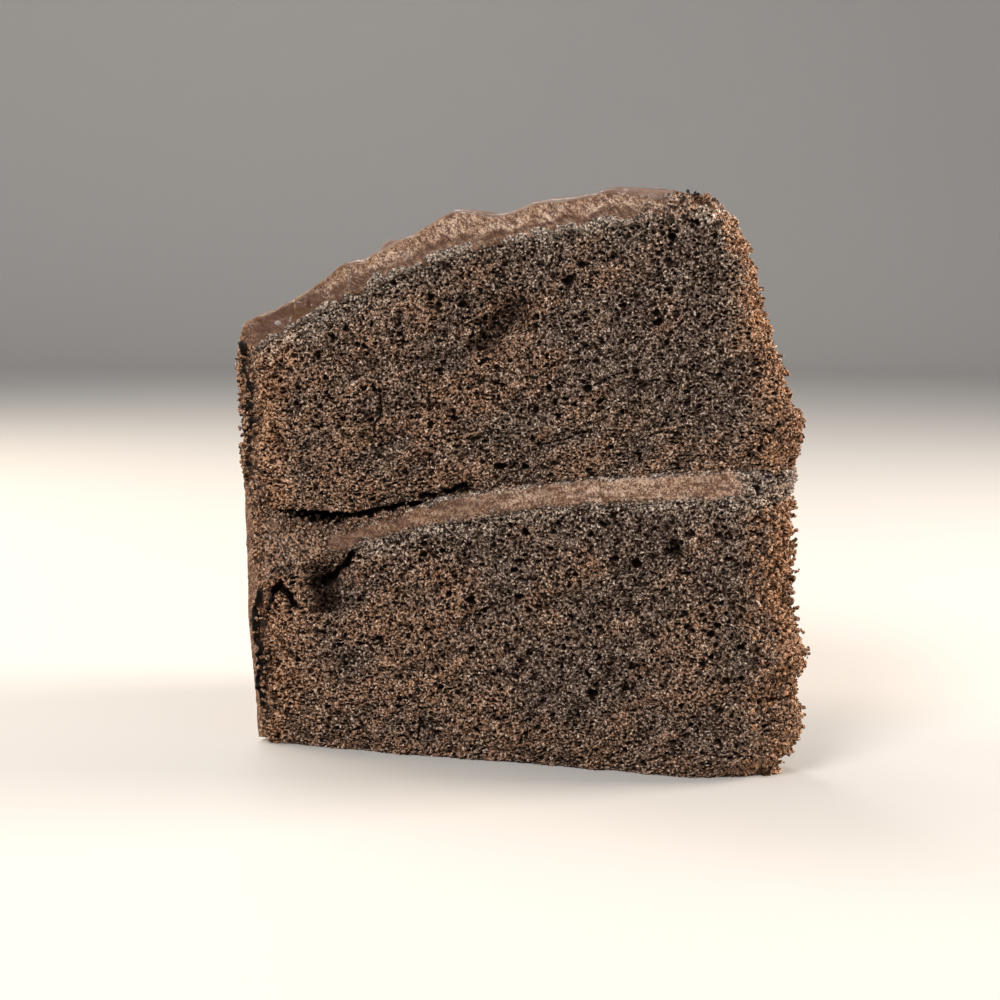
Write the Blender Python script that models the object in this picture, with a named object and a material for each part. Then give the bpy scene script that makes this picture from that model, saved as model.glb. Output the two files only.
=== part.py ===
"""A wedge cut from a round two-layer chocolate cake.

The slice has two domed sponge layers, a filling of chocolate icing between them, and one coat of
the same icing over the top and down the outer side. It stands on its flat base. The cake's rim is
towards -X, its torn tip towards +X, and the two cut faces meet the XZ plane at equal angles.
Every piece is a box sliced into a lattice and carried into the cake's own coordinates: distance
from the cake's axis, angle round it, and height.
"""

import itertools
import math

import bmesh
import bpy
import numpy as np
from mathutils import Matrix, Vector

MM = 0.001

# Driving dimensions of the cake, in metres
HALF_ANGLE = math.radians(20)
RIM_RADIUS_FOOT = 112 * MM
RIM_RADIUS_HEAD = 114.2 * MM
CORNER_HEIGHT = 75 * MM
GAP = 0.3 * MM
AXIS_X = 66.0 * MM

# Lower sponge: a dome that falls away towards the rim
LOWER_CROWN = 50 * MM
LOWER_FALL = 20.5 * MM
LOWER_POWER = 2.8

# Upper sponge: it sags at the rim and is lifted by the lower dome
UPPER_SEAT = 44.3 * MM
UPPER_LIFT = 11.3 * MM
UPPER_LIFT_RADIUS = 95 * MM
UPPER_CROWN = 99.3 * MM
UPPER_FALL = 24.6 * MM
UPPER_POWER = 3.1

# Torn tip: blunt and a little convex, and leaning back towards the rim near the top
TIP_RADIUS = 16.8 * MM
TIP_EDGES_BACK = 4 * MM
TIP_ROUNDING = 14.5 * MM
TIP_ROUNDING_POWER = 1.3
TIP_TWIST = 6 * MM
TIP_ROUNDING_FROM = 60 * MM
TIP_ROUNDING_SPAN = 42 * MM
CHIP_DEPTH = 9 * MM
CHIP_HEIGHT = 4 * MM
# Each knot of crumb on the tip: its height, its reach outwards and its half height
TIP_KNOTS = (
    (62 * MM, 3.0 * MM, 3.5 * MM),
    (50 * MM, -0.6 * MM, 4.0 * MM),
    (33 * MM, -0.8 * MM, 4.5 * MM),
    (22 * MM, 3.6 * MM, 4.0 * MM),
    (10 * MM, 2.6 * MM, 4.0 * MM),
    (2 * MM, -2.0 * MM, 2.5 * MM),
)

# Open crack under the upper sponge: its distance from the axis, depth and half length
CRACKS = (
    (101.5 * MM, 3.2 * MM, 7.0 * MM),
    (88.5 * MM, 1.3 * MM, 5.5 * MM),
)
CRACK_REACH = 11 * MM

# Pits in the front cut face: distance from the axis, height, radius, depth
PITS = (
    (67.5 * MM, 79.0 * MM, 4.4 * MM, 2.4 * MM),
    (98.5 * MM, 32.0 * MM, 3.6 * MM, 2.2 * MM),
    (89.0 * MM, 58.0 * MM, 3.6 * MM, 1.1 * MM),
)

# Icing
ICING_TOP = 4.2 * MM
ICING_TIP_INSET = 3 * MM
ICING_TIP_THINNING = 2.4 * MM
ICING_TIP_SPAN = 16 * MM
ICING_SIDE_FOOT = 2.0 * MM
ICING_SIDE_HEAD = 3.2 * MM
ICING_SIDE_FULL_HEIGHT = 30 * MM
ICING_FOOT = 1 * MM
CORNER_TURN = 9 * MM
CORNER_TURN_START = 0.37
CORNER_SWELL = 0.30
# Spatula ridges on the top: distance from the axis at the front cut, height, half width
RIDGES = (
    (98.0 * MM, 1.5 * MM, 4.5 * MM),
    (76.0 * MM, 2.3 * MM, 5.5 * MM),
    (60.0 * MM, 1.5 * MM, 4.5 * MM),
    (47.0 * MM, 1.3 * MM, 4.5 * MM),
)
# How far the ridges drift towards the rim from the front cut to the back cut
RIDGE_DRIFT = 13 * MM

# Soft unevenness, each as the height of its lumps, their size, and a seed
LOWER_TOP_LUMPS = (0.5 * MM, 14 * MM, 1)
UPPER_BOTTOM_LUMPS = (0.3 * MM, 12 * MM, 2)
UPPER_TOP_LUMPS = (0.6 * MM, 16 * MM, 3)
TIP_COARSE_CRAGS = (1.1 * MM, 6.5 * MM, 4)
TIP_FINE_CRAGS = (0.9 * MM, 3.2 * MM, 5)
CUT_BROAD_LUMPS = (0.30 * MM, 13 * MM, 6)
CUT_CRUMB_LUMPS = (0.42 * MM, 5.5 * MM, 7)
RIDGE_WANDER_LUMPS = (2.5 * MM, 22 * MM, 8)
ICING_TOP_LUMPS = (0.5 * MM, 9 * MM, 9)
ICING_SIDE_LUMPS = (0.35 * MM, 11 * MM, 10)
ICING_END_LUMPS = (1.5 * MM, 4 * MM, 11)

# The cut faces grow rougher near the tip, by this much more and over this reach
ROUGHER_AT_TIP = 1.6
ROUGHER_REACH = 9 * MM
# Shares of the cut faces' relief that the smoother filling and icing take up
FILLING_RELIEF = 0.7
ICING_RELIEF = 0.6

# Lattice counts: along the radius, across the angle, and up
RADIAL_CUTS = 32
ANGULAR_CUTS = 12
UPRIGHT_CUTS = 17
FILLING_UPRIGHT_CUTS = 3
ICING_PATH_CUTS = 50
ICING_TOP_SHARE = 0.68
TIP_CROWDING = 1.35


def smooth_step(x):
    """0 below 0, 1 above 1, and an S-shaped cubic between."""
    x = np.clip(x, 0, 1)
    return x * x * (3 - 2 * x)


def bump(x, half_width):
    """A bell that is 1 at 0 and fades to nothing at about twice the half width."""
    return np.exp(-((x / half_width) ** 2))


def lumps(points, height, size, seed):
    """Smooth noise up to the height each way: random values on a lattice of that size, blended."""
    cells = np.floor(points / size).astype(np.int64)
    blend = smooth_step(points / size - cells)
    total = np.zeros(len(points))
    for corner in itertools.product((0, 1), repeat=3):
        cell = cells + np.array(corner)
        key = cell @ np.array([374761393, 668265263, 2147483647]) + seed * 974634777
        key &= 0xFFFFFFFF
        key = ((key ^ (key >> 13)) * 1274126177) & 0xFFFFFFFF
        value = ((key ^ (key >> 16)) & 0xFFFF) / 32767.5 - 1
        total += value * np.prod(np.where(corner, blend, 1 - blend), axis=1)
    return height * total


def stacked(*columns):
    """Columns of numbers as an array of points."""
    return np.stack(np.broadcast_arrays(*columns), axis=-1)


def rim_radius(z):
    """The baking tin's taper: the sponge is a little wider at the head than at the foot."""
    return RIM_RADIUS_FOOT + (RIM_RADIUS_HEAD - RIM_RADIUS_FOOT) * z / CORNER_HEIGHT


def lower_top(x, y):
    """Top of the lower sponge, with the soft unevenness of a risen crust."""
    r = np.hypot(x, y)
    dome = LOWER_CROWN - LOWER_FALL * (r / RIM_RADIUS_HEAD) ** LOWER_POWER
    return dome + lumps(stacked(x, y, 0 * x), *LOWER_TOP_LUMPS)


def upper_bottom(x, y):
    """Underside of the upper sponge, which rests on the lower dome and sags towards the rim."""
    r = np.hypot(x, y)
    lift = UPPER_LIFT * np.clip(1 - (r / UPPER_LIFT_RADIUS) ** 2, 0, None)
    return UPPER_SEAT + lift + lumps(stacked(x, y, 0 * x), *UPPER_BOTTOM_LUMPS)


def upper_top(x, y):
    """Top of the upper sponge."""
    r = np.hypot(x, y)
    dome = UPPER_CROWN - UPPER_FALL * (r / RIM_RADIUS_HEAD) ** UPPER_POWER
    return dome + lumps(stacked(x, y, 0 * x), *UPPER_TOP_LUMPS)


def filling_top(x, y):
    """Top of the filling: it meets the upper sponge, apart from the crack by the front cut."""
    r = np.hypot(x, y)
    inwards = np.abs(x * math.sin(HALF_ANGLE) - y * math.cos(HALF_ANGLE))
    crack = sum(depth * bump(r - radius, half) for radius, depth, half in CRACKS)
    return upper_bottom(x, y) - GAP - crack * np.clip(1 - inwards / CRACK_REACH, 0, 1)


def tip_radius(side, y, z):
    """Where the torn tip ends: a blunt face, rounded off at the top, with knots and crags.

    side runs from -1 at the front cut to 1 at the back cut."""
    over = np.clip((z - TIP_ROUNDING_FROM) / TIP_ROUNDING_SPAN, 0, None)
    radius = TIP_RADIUS + TIP_ROUNDING * over**TIP_ROUNDING_POWER
    radius = radius + TIP_EDGES_BACK * side**2 + TIP_TWIST * np.sqrt(over) * side
    for height, reach, half in TIP_KNOTS:
        radius = radius - reach * bump(z - height, half) * (0.75 + 0.25 * side)
    chip = np.clip(1 - z / CHIP_HEIGHT, 0, 1) * np.clip(-side, 0, 1)
    where = stacked(0 * y, y, z)
    crags = lumps(where, *TIP_COARSE_CRAGS) + lumps(where, *TIP_FINE_CRAGS)
    return radius + CHIP_DEPTH * chip + crags


def cut_relief(r, z, side):
    """How far a cut face stands out: soft lumps of crumb everywhere, and pits at the front."""
    where = stacked(r, r * np.sign(side), z)
    near_tip = 1 + ROUGHER_AT_TIP * bump(r - TIP_RADIUS, ROUGHER_REACH)
    relief = lumps(where, *CUT_BROAD_LUMPS) + lumps(where, *CUT_CRUMB_LUMPS)
    relief = near_tip * relief
    for pit_r, pit_z, radius, depth in PITS:
        pit = depth * bump(np.hypot(r - pit_r, z - pit_z), radius)
        relief = relief - np.where(side < 0, pit, 0)
    return relief


def plan_point(r, side, relief):
    """Distance from the axis and place between the cuts, as x and y from the axis."""
    angle = side * HALF_ANGLE
    push = relief * np.abs(side) ** 3
    x = -r * np.cos(angle) + push * math.sin(HALF_ANGLE)
    y = r * np.sin(angle) + push * np.sign(side) * math.cos(HALF_ANGLE)
    return x, y


def sliced_box(counts):
    """A unit box whose faces are sliced into a lattice with these counts along X, Y and Z."""
    lattice = bmesh.new()
    centre = Matrix.Translation((0.5, 0.5, 0.5))
    bmesh.ops.create_cube(lattice, size=1, matrix=centre)
    for axis, count in enumerate(counts):
        for k in range(1, count):
            at = Vector((0, 0, 0))
            at[axis] = k / count
            normal = Vector((0, 0, 0))
            normal[axis] = 1
            everything = lattice.verts[:] + lattice.edges[:] + lattice.faces[:]
            bmesh.ops.bisect_plane(
                lattice, geom=everything, plane_co=at, plane_no=normal, dist=1e-6
            )
    bmesh.ops.triangulate(lattice, faces=lattice.faces[:])
    return lattice


def add_piece(name, counts, carry, material):
    """A sliced box whose points are carried into place, as an object with its material."""
    lattice = sliced_box(counts)
    mesh = bpy.data.meshes.new(name)
    lattice.to_mesh(mesh)
    lattice.free()
    unit = np.empty(3 * len(mesh.vertices), np.float32)
    mesh.vertices.foreach_get("co", unit)
    x, y, z = carry(*unit.reshape(-1, 3).astype(float).T)
    mesh.vertices.foreach_set("co", stacked(x, y, z).astype(np.float32).ravel())
    mesh.update()
    shaped = bmesh.new()
    shaped.from_mesh(mesh)
    bmesh.ops.recalc_face_normals(shaped, faces=shaped.faces[:])
    shaped.to_mesh(mesh)
    shaped.free()
    mesh.shade_smooth()
    mesh.materials.append(material)
    piece = bpy.data.objects.new(name, mesh)
    piece.location = (AXIS_X, 0, 0)
    slice_parts.objects.link(piece)
    return piece


def layer_between(bottom, top, relief_share):
    """The carry of a layer that fills the wedge between two surfaces of x and y."""

    def carry(along, across, up):
        side = 2 * across - 1
        share = along**TIP_CROWDING
        z = CORNER_HEIGHT * (0.5 + 0 * up)
        r = TIP_RADIUS + share * (RIM_RADIUS_HEAD - TIP_RADIUS)
        for _ in range(6):
            inner = tip_radius(side, r * np.sin(side * HALF_ANGLE), z)
            r = inner + share * (rim_radius(z) - inner)
            relief = relief_share * cut_relief(r, z, side)
            x, y = plan_point(r, side, relief)
            z = bottom(x, y) * (1 - up) + top(x, y) * up
        return x, y, z

    return carry


def icing_thickness(x, y, r, z, on_side, from_tip):
    """Thickness of the coat: spatula ridges on the top, and a thinner plain coat on the side."""
    turn = (np.arctan2(y, -x) + HALF_ANGLE) / (2 * HALF_ANGLE)
    wander = lumps(stacked(x, y, 0 * x), *RIDGE_WANDER_LUMPS)
    top = ICING_TOP + lumps(stacked(x, y, 0 * x), *ICING_TOP_LUMPS)
    for k, (radius, height, half) in enumerate(RIDGES):
        drift = RIDGE_DRIFT * turn * (0.6 + 0.4 * (-1) ** k)
        fade = 0.75 + 0.25 * np.cos(2 * math.pi * turn + k)
        top = top + height * fade * bump(r - radius + drift + wander, half)
    thin = 1 - smooth_step(from_tip / ICING_TIP_SPAN)
    top = top - ICING_TIP_THINNING * thin
    rise = smooth_step(z / ICING_SIDE_FULL_HEIGHT)
    side = ICING_SIDE_FOOT + (ICING_SIDE_HEAD - ICING_SIDE_FOOT) * rise
    side = side + lumps(stacked(x, y, z), *ICING_SIDE_LUMPS)
    return top * (1 - on_side) + side * on_side


def icing_carry(along, across, out):
    """The coat follows a path over the top and down the side, and stands out from it."""
    side = 2 * across - 1
    on_top = along <= ICING_TOP_SHARE
    top_share = np.clip(along / ICING_TOP_SHARE, 0, 1)
    side_share = np.clip((along - ICING_TOP_SHARE) / (1 - ICING_TOP_SHARE), 0, 1)
    edge = tip_radius(side, 0 * side, UPPER_CROWN + 0 * side)
    ragged = lumps(stacked(side * edge, 0 * side, 0 * side), *ICING_END_LUMPS)
    start = edge + ICING_TIP_INSET + ragged
    corner_r = rim_radius(CORNER_HEIGHT) + GAP
    r = np.where(on_top, start + top_share * (corner_r - start), corner_r)
    height = 95 * MM + 0 * r
    for _ in range(3):
        relief = ICING_RELIEF * cut_relief(r, height, side)
        x, y = plan_point(r, side, relief)
        corner_x, corner_y = plan_point(corner_r + 0 * r, side, relief)
        corner_z = upper_top(corner_x, corner_y) + GAP
        down = corner_z + side_share * (ICING_FOOT - corner_z)
        height = np.where(on_top, upper_top(x, y) + GAP, down)
        r = np.where(on_top, r, rim_radius(height) + GAP)
    travel = np.where(on_top, r - corner_r, corner_z - height)
    turned = smooth_step(CORNER_TURN_START + travel / (2 * CORNER_TURN))
    lean = turned * math.pi / 2
    thickness = icing_thickness(x, y, r, height, turned, r - start)
    corner_extra = 1 + CORNER_SWELL * np.sin(2 * lean)
    outwards = out * thickness * corner_extra * np.sin(lean)
    upwards = out * thickness * corner_extra * np.cos(lean)
    angle = side * HALF_ANGLE
    x = x - outwards * np.cos(angle)
    y = y + outwards * np.sin(angle)
    return x, y, height + upwards


def finish(name, colour, roughness):
    """A plain material with a base colour and a roughness."""
    material = bpy.data.materials.new(name)
    material.use_nodes = True
    shader = material.node_tree.nodes["Principled BSDF"]
    shader.inputs["Base Color"].default_value = (*colour, 1)
    shader.inputs["Roughness"].default_value = roughness
    shader.inputs["Metallic"].default_value = 0
    return material


for old in list(bpy.data.objects):
    bpy.data.objects.remove(old)
slice_parts = bpy.data.collections.new("chocolate_cake_slice")
bpy.context.scene.collection.children.link(slice_parts)

sponge = finish("sponge", (0.050, 0.028, 0.018), 0.9)
icing = finish("icing", (0.130, 0.065, 0.038), 0.45)


def floor_plane(x, y):
    """The flat base that the slice stands on."""
    return 0 * x


def filling_bottom(x, y):
    """Underside of the filling, just clear of the lower sponge."""
    return lower_top(x, y) + GAP


layer_counts = (RADIAL_CUTS, ANGULAR_CUTS, UPRIGHT_CUTS)
filling_counts = (RADIAL_CUTS, ANGULAR_CUTS, FILLING_UPRIGHT_CUTS)
icing_counts = (ICING_PATH_CUTS, ANGULAR_CUTS, 1)
lower_carry = layer_between(floor_plane, lower_top, 1)
filling_carry = layer_between(filling_bottom, filling_top, FILLING_RELIEF)
upper_carry = layer_between(upper_bottom, upper_top, 1)
add_piece("lower_sponge", layer_counts, lower_carry, sponge)
add_piece("filling", filling_counts, filling_carry, icing)
add_piece("upper_sponge", layer_counts, upper_carry, sponge)
add_piece("icing", icing_counts, icing_carry, icing)
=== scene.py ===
# %% [markdown]
# # A slice of chocolate layer cake
#
# The slice is a wedge of a round cake: two domed layers of dark sponge, chocolate icing between
# them, and one coat of icing over the top and down the outer side. The solid model gives the
# true sizes and the main forms. This lesson gives them their looks: an open crumb full of
# small holes, a smeared filling, and a glossy spread icing.
#
# A crumb could be painted with a bump map alone, but its holes are deep enough to be seen in
# outline and to hold shade, so here they are really cut into fine meshes. Every piece is a grid
# of points worked out with numpy as whole arrays, in millimetres, and made a mesh at the end.

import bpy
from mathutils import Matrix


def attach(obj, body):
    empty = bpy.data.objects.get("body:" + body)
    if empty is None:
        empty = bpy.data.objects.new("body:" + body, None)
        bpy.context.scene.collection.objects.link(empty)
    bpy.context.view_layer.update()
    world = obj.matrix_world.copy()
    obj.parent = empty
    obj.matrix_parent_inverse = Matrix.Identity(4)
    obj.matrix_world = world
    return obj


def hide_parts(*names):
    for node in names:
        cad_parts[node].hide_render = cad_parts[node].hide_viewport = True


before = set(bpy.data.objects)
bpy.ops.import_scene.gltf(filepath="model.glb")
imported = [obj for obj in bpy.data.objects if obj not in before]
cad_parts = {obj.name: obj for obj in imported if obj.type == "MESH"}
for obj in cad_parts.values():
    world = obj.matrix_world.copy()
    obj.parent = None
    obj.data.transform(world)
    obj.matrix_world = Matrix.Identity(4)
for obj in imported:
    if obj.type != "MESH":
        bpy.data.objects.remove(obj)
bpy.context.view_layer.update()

# %% [markdown]
# ## The camera
#
# It stands where the slice was looked at from: a little above the top, tipped down by 6.4
# degrees, and turned so that the iced outer side is at the left and further away than the torn
# tip. The place is given from the cake's axis, which the two cuts would meet at.

# %% Camera
import itertools
import math

import bpy
import numpy as np
from mathutils import Matrix, Vector

MM = 0.001
AXIS = Vector((66 * MM, 0, 0))
VIEW_TURN = math.radians(37.4)
VIEW_PITCH = math.radians(6.4)
VIEW_ROLL = math.radians(0.44)
VIEW_PLACE = (-63.4 * MM, -336.8 * MM, 88 * MM)

turned_view = Matrix.Rotation(VIEW_TURN, 4, "Z")
lens = bpy.data.cameras.new("camera")
lens.sensor_width = 36
lens.lens = 72
lens.clip_start = 0.01
camera = bpy.data.objects.new("camera", lens)
bpy.context.scene.collection.objects.link(camera)
camera.matrix_world = (
    Matrix.Translation(AXIS + turned_view @ Vector(VIEW_PLACE))
    @ turned_view
    @ Matrix.Rotation(math.pi / 2 - VIEW_PITCH, 4, "X")
    @ Matrix.Rotation(VIEW_ROLL, 4, "Z")
)
bpy.context.scene.camera = camera
print("camera at, mm:", [round(1000 * v) for v in camera.matrix_world.translation])

# %% [markdown]
# ## Soft noise and round bubbles
#
# Two kinds of randomness make everything here. Lumps are smooth noise: random values at the
# corners of a lattice, blended in between. Bubbles are what makes a sponge: space is divided
# into cells, some of them hold a round bubble of gas, and a cut through the sponge opens the
# bubbles that it meets. Both use a number mixed from the cell's place and a seed, so that the
# same cake comes out each time.

# %% Lumps
def smooth_step(x):
    """0 below 0, 1 above 1, and an S-shaped cubic between."""
    x = np.clip(x, 0, 1)
    return x * x * (3 - 2 * x)


def bell(x, half_width):
    """1 at 0, and falling to nothing at about twice the half width."""
    return np.exp(-((x / half_width) ** 2))


def points_of(*columns):
    """Columns of numbers as an array whose last side is x, y, z."""
    return np.stack(np.broadcast_arrays(*columns), axis=-1).astype(float)


def mixed(cells, seed):
    """A scrambled whole number from 0 to 2^32 for each cell of a lattice."""
    key = cells @ np.array([374761393, 668265263, 2147483647]) + seed * 974634777
    key &= 0xFFFFFFFF
    key = ((key ^ (key >> 13)) * 1274126177) & 0xFFFFFFFF
    return key ^ (key >> 16)


def lumps(points, height, size, seed):
    """Smooth noise up to the height each way: random corner values of a lattice, blended."""
    scaled = points / size
    cells = np.floor(scaled).astype(np.int64)
    blend = smooth_step(scaled - cells)
    total = np.zeros(points.shape[:-1])
    for corner in itertools.product((0, 1), repeat=3):
        value = (mixed(cells + np.array(corner), seed) & 0xFFFF) / 32767.5 - 1
        total += value * np.prod(np.where(corner, blend, 1 - blend), axis=-1)
    return height * total


# %% Bubbles
def bubbles(points, inward, cell, radii, share, seed):
    """How deep the bubbles that a cut opens go below each point.

    A share of the cells hold one bubble each, at a random place in the cell and of a random
    radius R. Where a point lies in a bubble, a line from it along `inward` leaves the bubble
    after a + sqrt(R^2 - d^2 + a^2), with d the distance to the centre and a its part along
    the line. The deepest bubble counts."""
    base = np.floor(points / cell).astype(np.int64)
    deepest = np.zeros(points.shape[:-1])
    for step in itertools.product((-1, 0, 1), repeat=3):
        cells = base + np.array(step)
        key = mixed(cells, seed)
        place = np.stack([key & 0x3FF, (key >> 10) & 0x3FF, (key >> 20) & 0x3FF], -1) / 1023
        other = mixed(cells, seed + 7)
        here = (other & 0xFF) < 256 * share
        radius = radii[0] + (radii[1] - radii[0]) * ((other >> 8) & 0xFF) / 255
        to_centre = (cells + place) * cell - points
        away = np.sum(to_centre**2, axis=-1)
        along = np.sum(to_centre * inward, axis=-1)
        inside = here & (away < radius**2)
        reach = along + np.sqrt(np.clip(radius**2 - away + along**2, 0, None))
        deepest = np.maximum(deepest, np.where(inside, reach, 0))
    return deepest


print("noise ready")

# %% [markdown]
# ## The cake's own shape
#
# A point of the slice is named by three numbers: its side, from -1 on the front cut to 1 on the
# back cut; its share of the way from the torn tip to the rim; and how far up it is between a
# layer's two surfaces. The same formulas give the solid model, so the fine pieces fit it.

# %% Sizes of the cake, in millimetres
HALF_ANGLE = math.radians(20)
RIM_FOOT = 112.0
RIM_HEAD = 114.2
CORNER_HEIGHT = 75.0
GAP = 0.3
STICK = 0.8

TIP_RADIUS = 16.8
TIP_EDGES_BACK = 4.0
TIP_KNOTS = (
    (62, 3.0, 3.5),
    (50, -0.6, 4.0),
    (33, -0.8, 4.5),
    (22, 3.6, 4.0),
    (10, 2.6, 4.0),
    (2, -2.0, 2.5),
)
CRACKS = ((101.5, 3.2, 7.0), (88.5, 1.3, 5.5))
PITS = ((67.5, 79.0, 4.4, 2.4), (98.5, 32.0, 3.6, 2.2), (89.0, 58.0, 3.6, 1.1))
RIDGES = ((98.0, 1.5, 4.5), (76.0, 2.3, 5.5), (60.0, 1.5, 4.5), (47.0, 1.3, 4.5))


def rim_radius(z):
    """The baking tin's taper: a little wider at the head than at the foot."""
    return RIM_FOOT + (RIM_HEAD - RIM_FOOT) * z / CORNER_HEIGHT


def flat(x, y):
    """A point of the plan, with no height."""
    return points_of(x, y, 0 * x)


# %% Surfaces between the layers
def lower_top(x, y):
    """Top of the lower sponge: a dome that falls away towards the rim."""
    r = np.hypot(x, y)
    return 50 - 20.5 * (r / RIM_HEAD) ** 2.8 + lumps(flat(x, y), 0.5, 14, 1)


def upper_bottom(x, y):
    """Underside of the upper sponge, lifted by the lower dome."""
    lift = 11.3 * np.clip(1 - (np.hypot(x, y) / 95) ** 2, 0, None)
    return 44.3 + lift + lumps(flat(x, y), 0.3, 12, 2)


def upper_top(x, y):
    """Top of the upper sponge: a higher dome."""
    r = np.hypot(x, y)
    return 99.3 - 24.6 * (r / RIM_HEAD) ** 3.1 + lumps(flat(x, y), 0.6, 16, 3)


def filling_top(x, y):
    """Top of the filling. It meets the upper sponge, apart from the open crack by the front."""
    r = np.hypot(x, y)
    inwards = np.abs(x * math.sin(HALF_ANGLE) - y * math.cos(HALF_ANGLE))
    crack = sum(depth * bell(r - radius, half) for radius, depth, half in CRACKS)
    sunk = crack * np.clip(1 - inwards / 11, 0, 1)
    return upper_bottom(x, y) - GAP - sunk + STICK * (1 - smooth_step(3 * sunk))


def filling_bottom(x, y):
    """Underside of the filling, pressed into the lower sponge."""
    return lower_top(x, y) + GAP - STICK


# %% The torn tip and the cuts
def tip_radius(side, y, z):
    """Where the torn tip ends: blunt, a little convex, leaning back at the top, with crags."""
    over = np.clip((z - 60) / 42, 0, None)
    radius = TIP_RADIUS + 14.5 * over**1.3 + TIP_EDGES_BACK * side**2 + 6 * np.sqrt(over) * side
    for height, reach, half in TIP_KNOTS:
        radius = radius - reach * bell(z - height, half) * (0.75 + 0.25 * side)
    chip = 9 * np.clip(1 - z / 4, 0, 1) * np.clip(-side, 0, 1)
    where = points_of(0 * y, y, z)
    return radius + chip + lumps(where, 1.1, 6.5, 4) + lumps(where, 0.9, 3.2, 5)


def cut_relief(r, z, side):
    """How far a cut face stands out: broad lumps, and the larger hollows of the front."""
    where = points_of(r, r * np.sign(side), z)
    near_tip = 1 + 1.6 * bell(r - TIP_RADIUS, 9)
    relief = near_tip * (lumps(where, 0.30, 13, 6) + lumps(where, 0.42, 5.5, 7))
    for pit_r, pit_z, radius, depth in PITS:
        pit = depth * bell(np.hypot(r - pit_r, z - pit_z), radius)
        relief = relief - np.where(side < 0, pit, 0)
    return relief


def plan_point(r, side, relief):
    """x and y from the cake's axis of a place between the cuts, pushed out by the relief."""
    angle = side * HALF_ANGLE
    push = relief * np.abs(side) ** 3
    x = -r * np.cos(angle) + push * math.sin(HALF_ANGLE)
    y = r * np.sin(angle) + push * np.sign(side) * math.cos(HALF_ANGLE)
    return x, y


def layer_point(side, share, up, bottom, top, relief_share):
    """The point of a layer, found by letting its height and its radius settle together."""
    z = np.full(side.shape, CORNER_HEIGHT / 2)
    r = TIP_RADIUS + share * (RIM_HEAD - TIP_RADIUS)
    for _ in range(4):
        inner = tip_radius(side, r * np.sin(side * HALF_ANGLE), z)
        r = inner + share * (rim_radius(z) - inner)
        x, y = plan_point(r, side, relief_share * cut_relief(r, z, side))
        z = bottom(x, y) * (1 - up) + top(x, y) * up
    return points_of(x, y, z)


print("domes at the crown, mm:", [round(float(f(-20.0, 0.0))) for f in (lower_top, upper_top)])

# %% [markdown]
# ## From a grid of points to a closed piece
#
# Each piece is a tube: a ring of points is carried along a path, and each end is drawn in a
# little and closed by one many-sided face. For a block of sponge the ring goes up the cut face,
# over the top, down the middle of the slice and back underneath. The faces' corners run so that
# they point outwards. Values that the finish needs, such as how deep a point lies in a hole, are
# stored on the mesh as named attributes.

# %% Meshes
END_DRAWN_IN = 0.1


def outward(rings):
    """The direction that stands on the tube's skin: along the path crossed with up the ring."""
    along = np.gradient(rings, axis=0)
    around = np.roll(rings, -1, axis=1) - np.roll(rings, 1, axis=1)
    normal = np.cross(along, around)
    return normal / np.maximum(np.linalg.norm(normal, axis=-1, keepdims=True), 1e-9)


def mesh_object(name, places, corners, starts, flat_faces, marks, finish):
    """A mesh from points in mm from the cake's axis, and from the corners of all its faces."""
    mesh = bpy.data.meshes.new(name)
    mesh.vertices.add(len(places))
    mesh.vertices.foreach_set("co", (places * MM + np.array(AXIS)).astype(np.float32).ravel())
    mesh.loops.add(len(corners))
    mesh.loops.foreach_set("vertex_index", corners.astype(np.int32))
    mesh.polygons.add(len(starts))
    mesh.polygons.foreach_set("loop_start", starts.astype(np.int32))
    mesh.update(calc_edges=True)
    mesh.polygons.foreach_set("use_smooth", np.arange(len(starts)) < len(starts) - flat_faces)
    for mark, values in marks.items():
        layer = mesh.attributes.new(mark, "FLOAT", "POINT")
        layer.data.foreach_set("value", np.asarray(values, np.float32).ravel())
    mesh.materials.append(finish)
    piece = bpy.data.objects.new(name, mesh)
    bpy.context.scene.collection.objects.link(piece)
    print(name, "triangles:", len(corners) - 2 * len(starts))
    return piece


def closed_tube(name, rings, marks, finish, ends=None):
    """A tube from rings of points. Each end is drawn in to another ring, and closed by one face.

    The end's ring is given, or else it is the last one drawn in by a share of its size."""
    if ends is None:
        ends = rings[[0, -1]]
        ends = ends + END_DRAWN_IN * (ends.mean(axis=1, keepdims=True) - ends)
    ends = ends[:, None]
    marks = {mark: np.concatenate([v[:1], v, v[-1:]]) for mark, v in marks.items()}
    rings = np.concatenate([ends[0], rings, ends[1]])
    stations, count = rings.shape[:2]
    number = np.arange(stations * count).reshape(stations, count)
    after = np.roll(number, -1, axis=1)
    quads = np.stack([number[:-1], number[1:], after[1:], after[:-1]], axis=-1)
    quads = np.concatenate([quads[1:-1], quads[:1], quads[-1:]]).reshape(-1, 4)
    corners = np.concatenate([quads.ravel(), number[0], number[-1][::-1]])
    starts = np.concatenate([np.arange(len(quads)) * 4, quads.size + np.array([0, count])])
    places = rings.reshape(-1, 3)
    return mesh_object(name, places, corners, starts, 2 * count + 2, marks, finish)


# %% From a piece to its place in the model
def take_place(piece, node):
    """The piece rides on the slice's one body and stands for a node of the solid model."""
    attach(piece, "root")
    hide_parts(node)


print("nodes to replace:", sorted(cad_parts))

# %% [markdown]
# ## Shader sums
#
# A finish is a small graph of nodes. To keep it readable, a socket is wrapped so that plus,
# minus and times add the Math nodes, and one method adds every other kind of node.

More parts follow.
